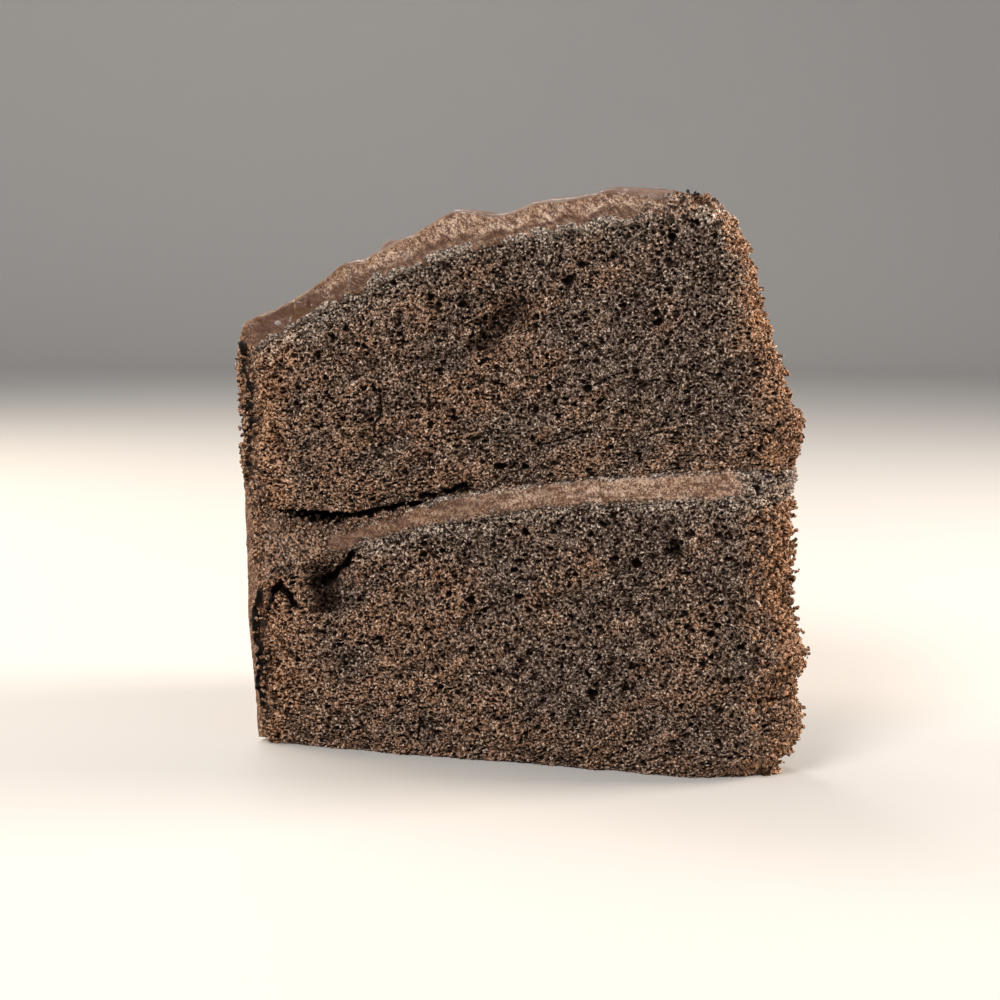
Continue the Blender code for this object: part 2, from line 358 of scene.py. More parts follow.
# %% A wrapped socket
class Wire:
    """A socket that can be used in sums."""

    def __init__(self, finish, socket):
        self.finish = finish
        self.socket = socket

    def math(self, operation, first, second):
        """One Math node."""
        return self.finish.add("ShaderNodeMath", {"operation": operation}, {0: first, 1: second})

    def __add__(self, other):
        return self.math("ADD", self, other)

    def __radd__(self, other):
        return self.math("ADD", other, self)

    def __sub__(self, other):
        return self.math("SUBTRACT", self, other)

    def __rsub__(self, other):
        return self.math("SUBTRACT", other, self)

    def __mul__(self, other):
        return self.math("MULTIPLY", self, other)

    def __rmul__(self, other):
        return self.math("MULTIPLY", other, self)


# %% A finish
class Finish:
    """A material with one Principled shader, and the means to add nodes to it."""

    def __init__(self, name, **constants):
        self.material = bpy.data.materials.new(name)
        self.material.use_nodes = True
        self.tree = self.material.node_tree
        self.shader = self.tree.nodes["Principled BSDF"]
        for socket, value in constants.items():
            self.shader.inputs[socket.replace("_", " ")].default_value = value

    def feed(self, socket, value):
        """Links a wire to a socket, or sets its value. A colour may have three numbers."""
        if isinstance(value, Wire):
            self.tree.links.new(value.socket, socket)
        elif isinstance(value, tuple) and len(value) == 3 and socket.type == "RGBA":
            socket.default_value = (*value, 1)
        else:
            socket.default_value = value

    def add(self, kind, settings, inputs, output=0):
        """A node of this kind: its settings first, then its sockets. Returns an output."""
        node = self.tree.nodes.new(kind)
        for key, value in settings.items():
            setattr(node, key, value)
        for key, value in inputs.items():
            self.feed(node.inputs[key], value)
        return Wire(self, node.outputs[output])

    def mark(self, name):
        """A value stored on the mesh."""
        settings = {"attribute_name": name}
        return self.add("ShaderNodeAttribute", settings, {}, "Fac")

    def noise(self, size_mm, detail=2.0, roughness=0.5):
        """Noise from 0 to 1 whose features are about this size."""
        place = self.add("ShaderNodeTexCoord", {}, {}, "Object")
        scale = 3 * (1 / (size_mm * MM),)
        place = self.add("ShaderNodeMapping", {}, {"Vector": place, "Scale": scale})
        inputs = {"Vector": place, "Scale": 1.0, "Detail": detail, "Roughness": roughness}
        return self.add("ShaderNodeTexNoise", {}, inputs)

    def sharper(self, wire, low, high):
        """0 below low, 1 above high, straight between."""
        inputs = {"Value": wire, "From Min": low, "From Max": high}
        return self.add("ShaderNodeMapRange", {}, inputs)

    def blend(self, factor, first, second):
        """A colour between two, by the factor."""
        inputs = {0: factor, 6: first, 7: second}
        return self.add("ShaderNodeMix", {"data_type": "RGBA"}, inputs, 2)

    def bump(self, height, strength, distance_mm):
        """Small relief that only bends the light."""
        inputs = {"Height": height, "Strength": strength, "Distance": distance_mm * MM}
        self.feed(self.shader.inputs["Normal"], self.add("ShaderNodeBump", {}, inputs))

    def colour(self, wire):
        """Give the base colour."""
        self.feed(self.shader.inputs["Base Color"], wire)

    def rough(self, wire):
        """Give the roughness."""
        self.feed(self.shader.inputs["Roughness"], wire)


# %% [markdown]
# ## Finish of the crumb
#
# Chocolate sponge is brown between its holes. Painted shade makes it nearly black in them, and
# painted highlights light the thin edges of the holes. Four marks on the mesh steer the colour.
# Pit says how deep a point lies in a hole, and so how much painted shade it gets; warm picks out
# the patches that tore open; torn paints warm light on the outside crumb near the tip and the
# rim; and the fourth marks where a film of icing greys the crumb and adds painted highlight flecks.

# %% Colours of the crumb
CRUMB_GREY = (0.150, 0.108, 0.085)
CRUMB_WARM = (0.285, 0.155, 0.092)
CRUMB_TORN_LIT = (0.47, 0.245, 0.132)
CRUMB_FILMED = (0.38, 0.315, 0.26)
GREY_SHADE = (0.058, 0.034, 0.023)
TORN_SHADE = (0.17, 0.072, 0.033)
LIT_EDGE_HIGHLIGHT = (0.78, 0.63, 0.51)
SPECK_SHADE = (0.010, 0.0038, 0.002)
HOLE_SHADE = (0.004, 0.0018, 0.0011)


def crumb_colour(finish):
    """Browns from the edge of a hole to painted shade in its depth, with painted highlights
    on light curly edges and dark specks of painted shade.

    The curls are bands of noise: 1 where it is near its middle value, and 0 away from it."""
    pit = finish.mark("pit")
    torn = finish.mark("torn")
    film_and_glints = finish.mark("film_and_glints")
    crest = finish.blend(finish.mark("warm"), CRUMB_GREY, CRUMB_WARM)
    # Painted warm light: the torn mark turns the crumb of the tip and the rim a lit orange.
    crest = finish.blend(torn, crest, CRUMB_TORN_LIT)
    crest = finish.blend(film_and_glints * 0.4, crest, CRUMB_FILMED)
    # Painted shade: the deeper a point lies in a hole, the darker its colour, down to near black.
    sunk = finish.sharper(pit, 0.05, 0.50)
    body = finish.blend(sunk, crest, finish.blend(torn, GREY_SHADE, TORN_SHADE))
    # Painted highlights: light flecks on the curly edges, more of them where a film of icing lies.
    curls = finish.noise(0.75, 1.5, 0.6) - 0.5
    curls = finish.sharper(curls.math("ABSOLUTE", curls, 0), 0.045, 0.0)
    spots = finish.noise(0.38, 2.0, 0.65) + 0.07 * curls + 0.06 * film_and_glints
    highlight_fleck = finish.sharper(spots, 0.55, 0.67)
    body = finish.blend(highlight_fleck * (0.85 - 0.5 * sunk), body, LIT_EDGE_HIGHLIGHT)
    # Painted shade: dark specks stand for pores too fine to cut into the mesh.
    speck = finish.sharper(finish.noise(0.46, 2.0, 0.65) + 0.05 * curls, 0.56, 0.46)
    body = finish.blend(speck * 0.92, body, SPECK_SHADE)
    return finish.blend(finish.sharper(pit, 0.35, 0.85), body, HOLE_SHADE), highlight_fleck


# %% Sponge finish
def sponge_finish():
    """Matt crumb. Only the painted highlight flecks glint, and more so where icing was smeared on them.
    """
    sponge = Finish("sponge crumb", Roughness=0.8, Specular_IOR_Level=0.05, Coat_Roughness=0.25)
    colour, highlight_fleck = crumb_colour(sponge)
    sponge.colour(colour)
    glint = highlight_fleck * (1 - sponge.sharper(sponge.mark("pit"), 0.0, 0.3))
    sponge.feed(sponge.shader.inputs["Coat Weight"], glint * (0.15 + 0.8 * sponge.mark("film_and_glints")))
    sponge.bump(sponge.noise(0.25, 3.0, 0.7), 0.6, 0.12)
    return sponge.material


sponge_crumb = sponge_finish()
print("finish:", sponge_crumb.name)

# %% [markdown]
# ## The crumb itself
#
# Three sizes of bubbles are cut into the faces: fine ones under a millimetre, some of a
# millimetre and a half, and a few large holes. What is left between them breaks into grains,
# which are small balls standing out. The points are shifted by noise before they look for
# bubbles, so that the holes come out torn and not round. Dough sinks a little before it sets,
# and so the holes are flattest near the bottom of a layer.

# %% Crumb relief
SQUASH_HEIGHT = 9.0
SQUASH_ALL = 0.15


def crumb_relief(points, outwards, above):
    """Depth of the holes and height of the grains, in mm, at points of a cut.

    `above` is the height over the layer's bottom. Bubbles are flattened a little all over, and
    at the bottom of the layer to less than half."""
    seeds = (21, 22, 23)
    shift = [lumps(points, 0.26, 0.8, seed) + lumps(points, 0.4, 2.6, seed + 3) for seed in seeds]
    torn = points + np.stack(shift, axis=-1)
    torn[..., 2] += SQUASH_ALL * above - SQUASH_HEIGHT * np.exp(-above / SQUASH_HEIGHT)
    fine = bubbles(torn, -outwards, 0.68, (0.20, 0.44), 0.9, 31)
    middle = bubbles(torn, -outwards, 1.5, (0.30, 0.72), 0.32, 32)
    large = bubbles(torn, -outwards, 5.0, (0.6, 1.25), 0.08, 33)
    depth = np.maximum(np.minimum(fine, 0.75), np.minimum(middle, 1.2))
    grains = bubbles(points + 0.5 * np.stack(shift, axis=-1), outwards, 0.62, (0.18, 0.36), 0.7, 34)
    return np.maximum(depth, 0.9 * large), np.minimum(grains, 0.45)


print("height of a bubble over its width, at the bottom:", round(1 / (2 + SQUASH_ALL), 2))

# %% [markdown]
# ## What tearing left on the front cut
#
# The knife pulled the crumb open in places. These are the lines that can be seen on the front,
# each with its half width, its depth and the places it runs through, given as the radius from
# the cake's axis and the height. Swells are the opposite: ridges of crumb left standing.

# %% Nearness to a line
def near_line(r, z, line, half_width):
    """1 on a line through places (r, z) of the cut, falling off to both sides.

    The distance is to the nearest point of the nearest stretch of the line."""
    nearest = np.full(r.shape, 1e9)
    for (r0, z0), (r1, z1) in zip(line, line[1:]):
        dr = r1 - r0
        dz = z1 - z0
        share = np.clip(((r - r0) * dr + (z - z0) * dz) / (dr * dr + dz * dz), 0, 1)
        nearest = np.minimum(nearest, np.hypot(r - r0 - share * dr, z - z0 - share * dz))
    return bell(nearest, half_width)


# %% Lines on the front
RIM_SPLIT = ((112.2, 27.5), (111.6, 29.4), (110.2, 29.9), (108.6, 29.4), (107.5, 28.3), (107.1, 26.4))
UNDER_FILLING = (
    (77.8, 43.4), (82.6, 43.2), (85.5, 41.8), (89.2, 40.3), (95.5, 36.7), (98.6, 34.0), (100.9, 31.2)
)
LONG_RIDGE = (
    (98.3, 55.6), (85.5, 60.9), (77.3, 63.0), (73.5, 64.9), (68.6, 66.4), (61.0, 68.8), (55.0, 74.4)
)
CREVICES = (
    (0.45, 1.8, RIM_SPLIT),
    (0.40, 1.6, UNDER_FILLING),
    (0.55, 1.6, ((81.0, 48.1), (78.0, 48.7), (73.2, 49.7))),
    (0.28, 0.5, ((89.6, 66.0), (90.2, 62.0), (91.1, 58.4))),
)
HOLLOWS = (
    (2.3, 3.0, ((101.8, 30.0), (100.6, 27.0))),
    (3.0, 1.6, ((70.4, 76.6), (66.8, 79.6), (64.4, 82.0))),
    (1.6, 1.3, ((67.2, 88.3), (66.4, 88.3))),
    (1.3, 1.3, ((91.7, 71.9), (91.0, 71.5))),
    (1.4, 1.7, ((34.9, 41.2), (33.9, 39.4))),
    (1.2, 1.1, ((110.6, 66.6), (108.6, 66.2))),
    (0.9, 1.2, ((110.2, 60.0), (109.4, 56.5))),
)
SWELLS = (
    (2.0, 0.8, ((79.8, 67.4), (75.0, 69.0), (70.2, 72.3), (63.9, 79.3), (57.5, 83.8))),
    (1.8, 0.8, LONG_RIDGE),
    (2.2, 0.6, ((97.0, 47.5), (84.0, 50.5), (74.0, 52.0))),
    (2.2, 0.6, ((95.0, 22.0), (84.0, 24.0), (74.0, 28.0))),
    (2.0, 0.5, ((99.0, 9.0), (88.0, 12.0), (78.0, 12.0))),
    (2.0, 0.5, ((62.0, 30.0), (54.0, 33.5), (49.0, 37.0))),
)
print("lines on the front:", len(CREVICES), "crevices,", len(HOLLOWS), "hollows,", len(SWELLS), "swells")


# %% Relief that tearing left
TEAR_TILT = 0.62


def front_lines(points, side, lines):
    """All the lines of one kind added up on the front cut, with slightly ragged courses."""
    r = np.hypot(points[..., 0], points[..., 1])
    r = r + lumps(points, 0.5, 1.0, 71) + lumps(points, 0.9, 3.5, 75)
    z = points[..., 2] + lumps(points, 0.5, 1.0, 72) + lumps(points, 0.9, 3.5, 76)
    total = sum(size * near_line(r, z, line, half) for half, size, line in lines)
    return np.where(side < -0.98, total, 0)


def tearing(points):
    """Ridges in mm, drawn out along the way that the crumb tore: tilted up towards the tip."""
    r = np.hypot(points[..., 0], points[..., 1])
    z = points[..., 2]
    along = z * math.sin(TEAR_TILT) - r * math.cos(TEAR_TILT)
    across = z * math.cos(TEAR_TILT) + r * math.sin(TEAR_TILT)
    where = points_of(along / 2.4, across, 0 * r + 3 * np.sign(points[..., 1]))
    return lumps(where, 0.5, 2.6, 73) + lumps(where, 0.25, 1.2, 74)


# %% [markdown]
# ## Blocks of sponge
#
# A layer is made in four blocks, so that each stays a mesh of moderate size: three along the
# front with the torn tip, and one for the back. A block's path runs along the outline of the
# slice. At each place on it, a ring of points goes up the face, over the layer's top to the
# middle of the slice, and back along its underside.

# %% The path along the outline
FINE = 0.165
COARSE = 0.27
MIDDLE_SIDE = 0.04
INNER_SHARE = 0.07
OUTER_SHARE = 0.95
CUT_LENGTH = 93.0
TIP_LENGTH = 14.0
RIM_STEPS = 10


def straight(start, end, length, step):
    """Evenly spaced values from start to end, about one step apart over that length."""
    return np.linspace(start, end, max(2, round(length / step)))


def front_path(step):
    """Side and share along the rim, the front cut and the torn tip."""
    rim = np.linspace(0, -1, RIM_STEPS, endpoint=False)
    cut = straight(1, 0, CUT_LENGTH, step)
    tip = straight(-1, 1, TIP_LENGTH, step)[1:]
    side = np.concatenate([rim, -1 + 0 * cut, tip])
    share = np.concatenate([1 + 0 * rim, cut, 0 * tip])
    return side, share


def back_path(step):
    """Side and share from just round the tip's far corner, along the back cut and the rim."""
    tip = np.array([0.94, 0.97])
    cut = straight(0, 1, CUT_LENGTH, step)
    rim = np.linspace(1, 0, RIM_STEPS + 1)[1:]
    side = np.concatenate([tip, 1 + 0 * cut, rim])
    share = np.concatenate([0 * tip, cut, 1 + 0 * rim])
    return side, share


# %% The ring at each place
def rings_of(path, rows, wall_rows, step, layer):
    """Rings of a layer along a path: up the face, over the top, and back underneath.

    A wall goes inwards from the face's edge as (k / K)^p of the way, with p chosen so that its
    first step is as fine as the face. Also gives how far in from the face each point is."""
    side, share = (v[:, None] for v in path)
    goal_side = MIDDLE_SIDE * side
    goal_share = np.clip(share, INNER_SHARE, OUTER_SHARE)
    middle = 0 * side + 0.5
    here = layer_point(side, share, middle, *layer)
    width = np.linalg.norm(here - layer_point(goal_side, goal_share, middle, *layer), axis=-1)
    k = np.arange(1, wall_rows + 1)[None, :] / wall_rows
    power = np.maximum(1, np.log(width / step) / math.log(wall_rows))
    in_top = k**power
    in_bottom = in_top[:, ::-1]
    face = np.linspace(0, 1, rows)[None, :] + 0 * side
    inwards = np.concatenate([in_bottom, 0 * face, in_top], axis=1)
    up = np.concatenate([0 * in_bottom, face, 1 + 0 * in_top], axis=1)
    ring_side = side + inwards * (goal_side - side)
    ring_share = share + inwards * (goal_share - share)
    rings = layer_point(ring_side, ring_share, up, *layer)
    return rings, inwards * width, ring_side + 0 * up, ring_share * CUT_LENGTH + 0 * up


# %% Where the crumb is filmed with icing, warm, or given painted warm light
UPPER_FROM = 50
FILM_ENDS = (99, 130)


def icing_film_and_glints(rings, from_tip, below):
    """A film of icing on the crumb, with painted highlight flecks: close below the icing, in patches, and
    at the tip's top.
    """
    r = np.hypot(rings[..., 0], rings[..., 1])
    z = rings[..., 2]
    spread = smooth_step((np.where(z > UPPER_FROM, FILM_ENDS[1], FILM_ENDS[0]) - r) / 6)
    reach = 2.2 + 2.4 * smooth_step((r - 76) / 16) * (z > UPPER_FROM)
    film = bell(below, reach) * smooth_step(0.95 + lumps(rings, 0.9, 2.2, 43)) * spread
    at_tip = bell(from_tip, 3) * bell(below, 10) * smooth_step(z / 20 - 3)
    return np.clip(film + at_tip * smooth_step(0.6 + lumps(rings, 0.9, 1.6, 33)), 0, 1)


def warm_crumb(rings, above, tears, swells):
    """Warm brown low in a layer, towards the rim, and where the crumb tore or stands out."""
    r = np.hypot(rings[..., 0], rings[..., 1])
    low = 0.30 - 0.6 * above / 50 + 0.3 * (r - 65) / 50
    return smooth_step(0.42 + low + 0.8 * tears + 0.9 * swells + lumps(rings, 0.45, 9, 44))


def lit_crumb(rings, side, from_tip, tip_face):
    """Painted warm light on the outside crumb: patches of the torn tip, its edges, and the rim."""
    r = np.hypot(rings[..., 0], rings[..., 1])
    open_face = tip_face * smooth_step((0.75 - np.abs(side) + lumps(rings, 0.45, 2.6, 48)) / 0.5)
    open_face = open_face * smooth_step(0.75 + lumps(rings, 0.9, 8, 28))
    rim = bell(rim_radius(rings[..., 2]) - r, 1.7)
    near_rim = smooth_step((r - 105 + lumps(rings, 3, 4, 37)) / 5)
    return np.clip(open_face + 0.3 * bell(from_tip, 1.8) + 0.6 * rim + 0.75 * near_rim, 0, 1)


# %% The crumb of a block
PIT_DEPTH = 0.34
BELOW_HOLES = 2.6


def pit_of(depth):
    """0 on the face and near 1 in a hole: 1 less e to the power of -depth / PIT_DEPTH."""
    return 1 - np.exp(-depth / PIT_DEPTH)


def sponge_rings(path, rows, wall_rows, step, layer, lip):
    """The rings with the crumb cut in, fading over the lip, and the marks of the finish.

    The core is the same rings pushed in below every hole. The ends of the blocks use it."""
    rings, inwards, side, from_tip = rings_of(path, rows, wall_rows, step, layer)
    normal = outward(rings)
    x, y, z = (rings[..., k] for k in range(3))
    bottom, top = layer[:2]
    above = z - bottom(x, y)
    below = top(x, y) - z
    fade = 1 - smooth_step((inwards - lip) / (0.6 * lip))
    tip_face = smooth_step((0.995 - np.abs(side)) / 0.06) * bell(from_tip, 4)
    swells, crevices, hollows = (front_lines(rings, side, k) for k in (SWELLS, CREVICES, HOLLOWS))
    tears = tearing(rings)
    clumps = lumps(rings, 0.6, 2.1, 46) + lumps(rings, 0.4, 1.05, 47)
    crags = bubbles(rings, normal, 1.7, (0.45, 0.95), 0.45, 35)
    crags = np.minimum(crags, 1.1) * np.clip(tip_face + bell(from_tip, 1.5), 0, 1)
    film_and_glints = icing_film_and_glints(rings, from_tip, below)
    holes, grains = crumb_relief(rings, normal, above)
    holes = holes * (1 - 0.3 * film_and_glints)
    edge = bell(below - 0.3, 0.6) + bell(above - 0.3, 0.6) * (z > 5)
    border = (lumps(rings, 0.5, 1.6, 45) - 0.15) * edge
    relief = grains - 0.15 + 0.8 * tears + 0.3 * clumps + 0.5 * swells + crags
    relief = relief - holes - crevices - hollows + border
    # Painted shade: crevices, hollows and the sunk valleys between ridges darken the colour through the
    # pit mark, as the holes do.
    sunk = np.clip(-0.9 * tears - clumps, 0, 1)
    deepest = np.maximum(holes, 1.5 * crevices) + 0.13 * hollows + 0.14 * sunk * (1 - film_and_glints)
    # Pit carries painted shade, torn painted warm light, and the film mark both the film's grey and
    # painted highlight flecks.
    marks = {
        "pit": pit_of(deepest),
        "torn": lit_crumb(rings, side, from_tip, tip_face),
        "warm": warm_crumb(rings, above, tears, swells) * (1 - film_and_glints),
        "film_and_glints": film_and_glints,
    }
    core = rings - BELOW_HOLES * fade[..., None] * normal
    rings = rings + (fade * relief)[..., None] * normal
    rings[..., 2] = np.maximum(rings[..., 2], 0)
    core[..., 2] = np.maximum(core[..., 2], 0)
    return rings, core, marks


# %% Sponge blocks
def sponge_tube(name, rings, core, marks, first, last):
    """One block: the stations from first to last. Its ends go straight in, below the holes."""
    part = {mark: values[first:last] for mark, values in marks.items()}
    return closed_tube(name, rings[first:last], part, sponge_crumb, core[[first, last - 1]])


def sponge_layer(node, height, layer, lip):
    """The blocks of a layer."""
    rings, core, marks = sponge_rings(front_path(FINE), round(height / FINE), 14, FINE, layer, lip)
    ends = np.linspace(0, len(rings) - 1, 4).astype(int)
    places = ("rim", "middle", "tip")
    for place, first, last in zip(places, ends, ends[1:]):
        piece = sponge_tube(f"{node}_{place}", rings, core, marks, first, last + 1)
        take_place(piece, node)
    rings, core, marks = sponge_rings(back_path(COARSE), round(height / COARSE), 10, COARSE, layer, lip)
    take_place(sponge_tube(node + "_back", rings, core, marks, 0, len(rings)), node)


def base(x, y):
    """The flat base that the slice stands on."""
    return 0 * x


LAYER_LIP = 1.2
sponge_layer("lower_sponge", 48, (base, lower_top, 1), LAYER_LIP)
sponge_layer("upper_sponge", 50, (upper_bottom, upper_top, 1), LAYER_LIP)

# %% [markdown]
# ## Finish of the icing
#
# Chocolate icing is a milk-brown paste, full of fine grains where it was cut, with a soft gloss
# where it was spread. Where it is thin over the sponge it is darker and redder. Crumbs stick in
# it by the rim and at the tip, and there the mark called crumby brings in the crumb's colours.

# %% Colours of the icing
SKIN_DARK = (0.105, 0.048, 0.026)
SKIN_LIGHT = (0.165, 0.095, 0.064)
SIDE_SKIN_LIT = (0.175, 0.072, 0.029)
CUT_BROWN = (0.210, 0.102, 0.052)
CUT_PALE = (0.45, 0.305, 0.220)
THIN_RED = (0.085, 0.032, 0.011)
SMEAR_DARK = (0.080, 0.033, 0.015)
SUGAR_GRAIN = (0.70, 0.53, 0.40)
COCOA_SPECK = (0.050, 0.018, 0.008)
UNSEEN_SHADE = (0.006, 0.003, 0.002)


# %% Icing finish
def icing_finish(name):
    """Milk-brown paste with light and dark streaks and grains, patches, uneven gloss, painted shade and
    painted warm light.
    """
    icing = Finish(name, Specular_IOR_Level=0.35, Coat_Roughness=0.2)
    cut = icing.mark("cut")
    crumby = icing.sharper(icing.mark("crumby") + icing.noise(0.7, 2.0, 0.6), 0.90, 1.02)
    # Painted shade: where the pit mark is high, in holes, crevices and faces hidden against the sponge,
    # the colour goes nearly black.
    out_of_shade = 1 - icing.sharper(icing.mark("pit"), 0.1, 0.7)
    patch = icing.sharper(icing.noise(6, 4.0, 0.6), 0.40, 0.62)
    skin = icing.blend(patch, SKIN_DARK, SKIN_LIGHT)
    # Painted warm light: the side's skin is a warmer orange, for warm light falling on the side.
    skin = icing.blend(0.7 * icing.mark("side"), skin, SIDE_SKIN_LIT)
    pale = icing.mark("pale") * icing.sharper(icing.noise(4, 3.0, 0.65), 0.36, 0.56)
    body = icing.blend(cut, skin, icing.blend(pale, CUT_BROWN, CUT_PALE))
    red = icing.mark("red")
    body = icing.blend(red, body, THIN_RED)
    blotch = icing.sharper(icing.noise(1.4, 3.0, 0.75), 0.52, 0.38)
    body = icing.blend(blotch * (0.15 + 0.6 * cut), body, SMEAR_DARK)
    streak = 0.8 * icing.noise(0.34, 2.0, 0.65) + 0.30 * icing.mark("streak")
    grain = icing.sharper(streak, 0.557, 0.66)
    grain = grain * (0.05 + 0.28 * cut + 0.45 * pale) * (1 - 0.7 * red)
    body = icing.blend(grain, body, SUGAR_GRAIN)
    speck = icing.sharper(streak, 0.557, 0.46)
    body = icing.blend(speck * (0.15 + 0.65 * cut), body, COCOA_SPECK)
    body = icing.blend(out_of_shade, UNSEEN_SHADE, body)
    crumb, highlight_fleck = crumb_colour(icing)
    icing.colour(icing.blend(crumby, body, crumb))
    gloss = icing.sharper(icing.noise(2.6, 3.0, 0.6), 0.42, 0.60)
    icing.rough(0.60 - 0.25 * gloss + 0.15 * crumby + 0.4 * (1 - out_of_shade))
    coat = gloss * (1 - 0.85 * cut) * (1 - crumby) + 0.3 * crumby * highlight_fleck
    icing.feed(icing.shader.inputs["Coat Weight"], coat * out_of_shade * 0.55)
    icing.bump(icing.noise(0.40, 4.0, 0.7) + 0.6 * icing.noise(1.6, 2.0), 0.8, 0.22)
    return icing.material


coat_icing = icing_finish("spread icing")
filling_icing = icing_finish("filling icing")
print("finishes:", coat_icing.name, "and", filling_icing.name)

# %% [markdown]
# ## The filling
#
# The knife dragged the filling along as it cut, so its face is smeared lengthwise, and grainy.
# Its edges are drawn back a little, for the crumb to stand over them. Near the rim it is thick
# and mixed with crumb, apart from one smooth lump just under the crack.

# %% Filling
FILLING_LUMP = (110.3, 42.6, 1.5)
FILLING_MIXED_FROM = 97.0


def crumb_in_filling(rings, r, from_tip, lump):
    """How much crumb is mixed in: all of it by the rim and at the tip, none in the lump."""
    mixed_in = smooth_step((r - FILLING_MIXED_FROM + lumps(rings, 2.5, 5, 55)) / 5)
    patches = 0.5 * smooth_step(lumps(rings, 1.2, 3.0, 50) - 0.2)
    mixed_in = np.clip(mixed_in + bell(from_tip, 1.5) + patches, 0, 1)
    plain = smooth_step((r - 46 + lumps(rings, 6, 6, 49)) / 12)
    mixed_in = mixed_in * (1 - smooth_step(2 * lump)) * plain
    return np.clip(mixed_in + bell(from_tip, 2.5), 0, 1)


def filling_rings(path, rows, step):
    """Rings of the filling: drawn-out smears, grains, and holes where crumb is mixed in."""
    layer = (filling_bottom, filling_top, 0.7)
    rings, inwards, side, from_tip = rings_of(path, rows, 10, step, layer)
    normal = outward(rings)
    x, y, z = (rings[..., k] for k in range(3))
    r = np.hypot(x, y)
    fade = 1 - smooth_step((inwards - 1.5) / 1.5)
    lump_r, lump_z, lump_half = FILLING_LUMP
    lump = np.where(side < -0.9, bell(np.hypot(r - lump_r, z - lump_z), lump_half), 0)
    mixed_in = crumb_in_filling(rings, r, from_tip, lump)
    near_rim = smooth_step((r - FILLING_MIXED_FROM) / 6)
    red = smooth_step(lumps(rings, 0.9, np.array([5, 5, 1.1]), 58) + 0.2 + (r - 60) / 60)
    smear = lumps(rings, 0.2, np.array([6.0, 6.0, 1.0]), 51) + lumps(rings, 0.16, 1.2, 52)
    streak = lumps(rings, 0.30, np.array([2.2, 2.2, 0.6]), 32) + lumps(rings, 0.25, 0.55, 31)
    grains = np.minimum(bubbles(rings, normal, 0.75, (0.15, 0.40), 0.55, 53), 0.4)
    knobs = np.minimum(bubbles(rings, normal, 1.6, (0.35, 0.8), 0.4, 54), 0.8) * mixed_in
    holes, crumb_grains = crumb_relief(rings, normal, 20 + 0 * z)
    holes = holes * mixed_in
    edge = np.minimum(filling_top(x, y) - z, z - filling_bottom(x, y))
    tucked = 0.5 * (1 - smooth_step((edge - 0.2 + lumps(rings, 0.5, 1.6, 57)) / 1.0))
    blurred = bell(edge + lumps(rings, 0.5, 1.2, 27), 1.1) * fade
    height = smear + 0.35 * grains + mixed_in * crumb_grains + 0.7 * knobs + 0.7 * lump
    height = height - holes - tucked
    # Pit paints shade in the holes and on the hidden part further in from the cut, torn paints warm light
    # near the rim, and the film mark adds painted highlight flecks at the tip.
    marks = {
        "cut": fade * (1 - lump),
        "pit": np.clip(pit_of(holes) + smooth_step((inwards - 1) / 3), 0, 1),
        "crumby": np.clip(mixed_in + blurred, 0, 1),
        "torn": 0.35 * near_rim,
        "warm": smooth_step(0.5 + lumps(rings, 0.9, 3, 30) + 0.5 * near_rim),
        "film_and_glints": np.clip(0.4 * bell(from_tip, 3) + 0.6 * blurred * smooth_step((99 - r) / 4), 0, 1),
        "pale": 0.48 * smooth_step((84 - r) / 25) + 0 * r,
        "streak": np.clip(0.5 + streak, 0, 1),
        "side": 0 * r,
        "red": 0.7 * fade * red,
    }
    return rings + (fade * height)[..., None] * normal, marks


for place, path, step in (("front", front_path, 0.19), ("back", back_path, 0.28)):
    rings, marks = filling_rings(path(step), round(8 / step), step)
    take_place(closed_tube("filling_" + place, rings, marks, filling_icing), "filling")

# %% [markdown]
# ## The coat of icing
#
# The coat runs from the tip over the top to the foot of the side, and its ring goes round its
# own thickness: up the front cut, across the outside, down the back cut, and back along the
# sponge. Its thickness carries the spatula's waves. Beside the front cut, on the upper half of
# the side, the coat is only a crust of crumb and icing that has come away from the sponge, and
# leaves a dark crevice. The whole coat is one piece, so that no seam shows where it turns down.

# %% Thickness of the coat
def coat_thickness(x, y, r, z, on_side, from_tip):
    """Waves and drawn ridges on the top, and a thinner, plainer coat on the side."""
    turn = (np.arctan2(y, -x) + HALF_ANGLE) / (2 * HALF_ANGLE)
    wander = lumps(flat(x, y), 2.5, 22, 8)
    top = 4.2 + lumps(flat(x, y), 0.5, 9, 9)
    for k, (radius, height, half) in enumerate(RIDGES):
        drift = 13 * turn * (0.6 + 0.4 * (-1) ** k)
        fade = 0.75 + 0.25 * np.cos(2 * math.pi * turn + k)
        top = top + height * fade * bell(r - radius + drift + wander, half)
    top = top - 2.4 * (1 - smooth_step(from_tip / 16))
    side = 2.0 + 1.2 * smooth_step(z / 30) + lumps(points_of(x, y, z), 0.35, 11, 10)
    return top * (1 - on_side) + side * on_side


# %% Where the coat lies on the sponge
ICING_FOOT = 1.0
TOP_SHARE = 0.56


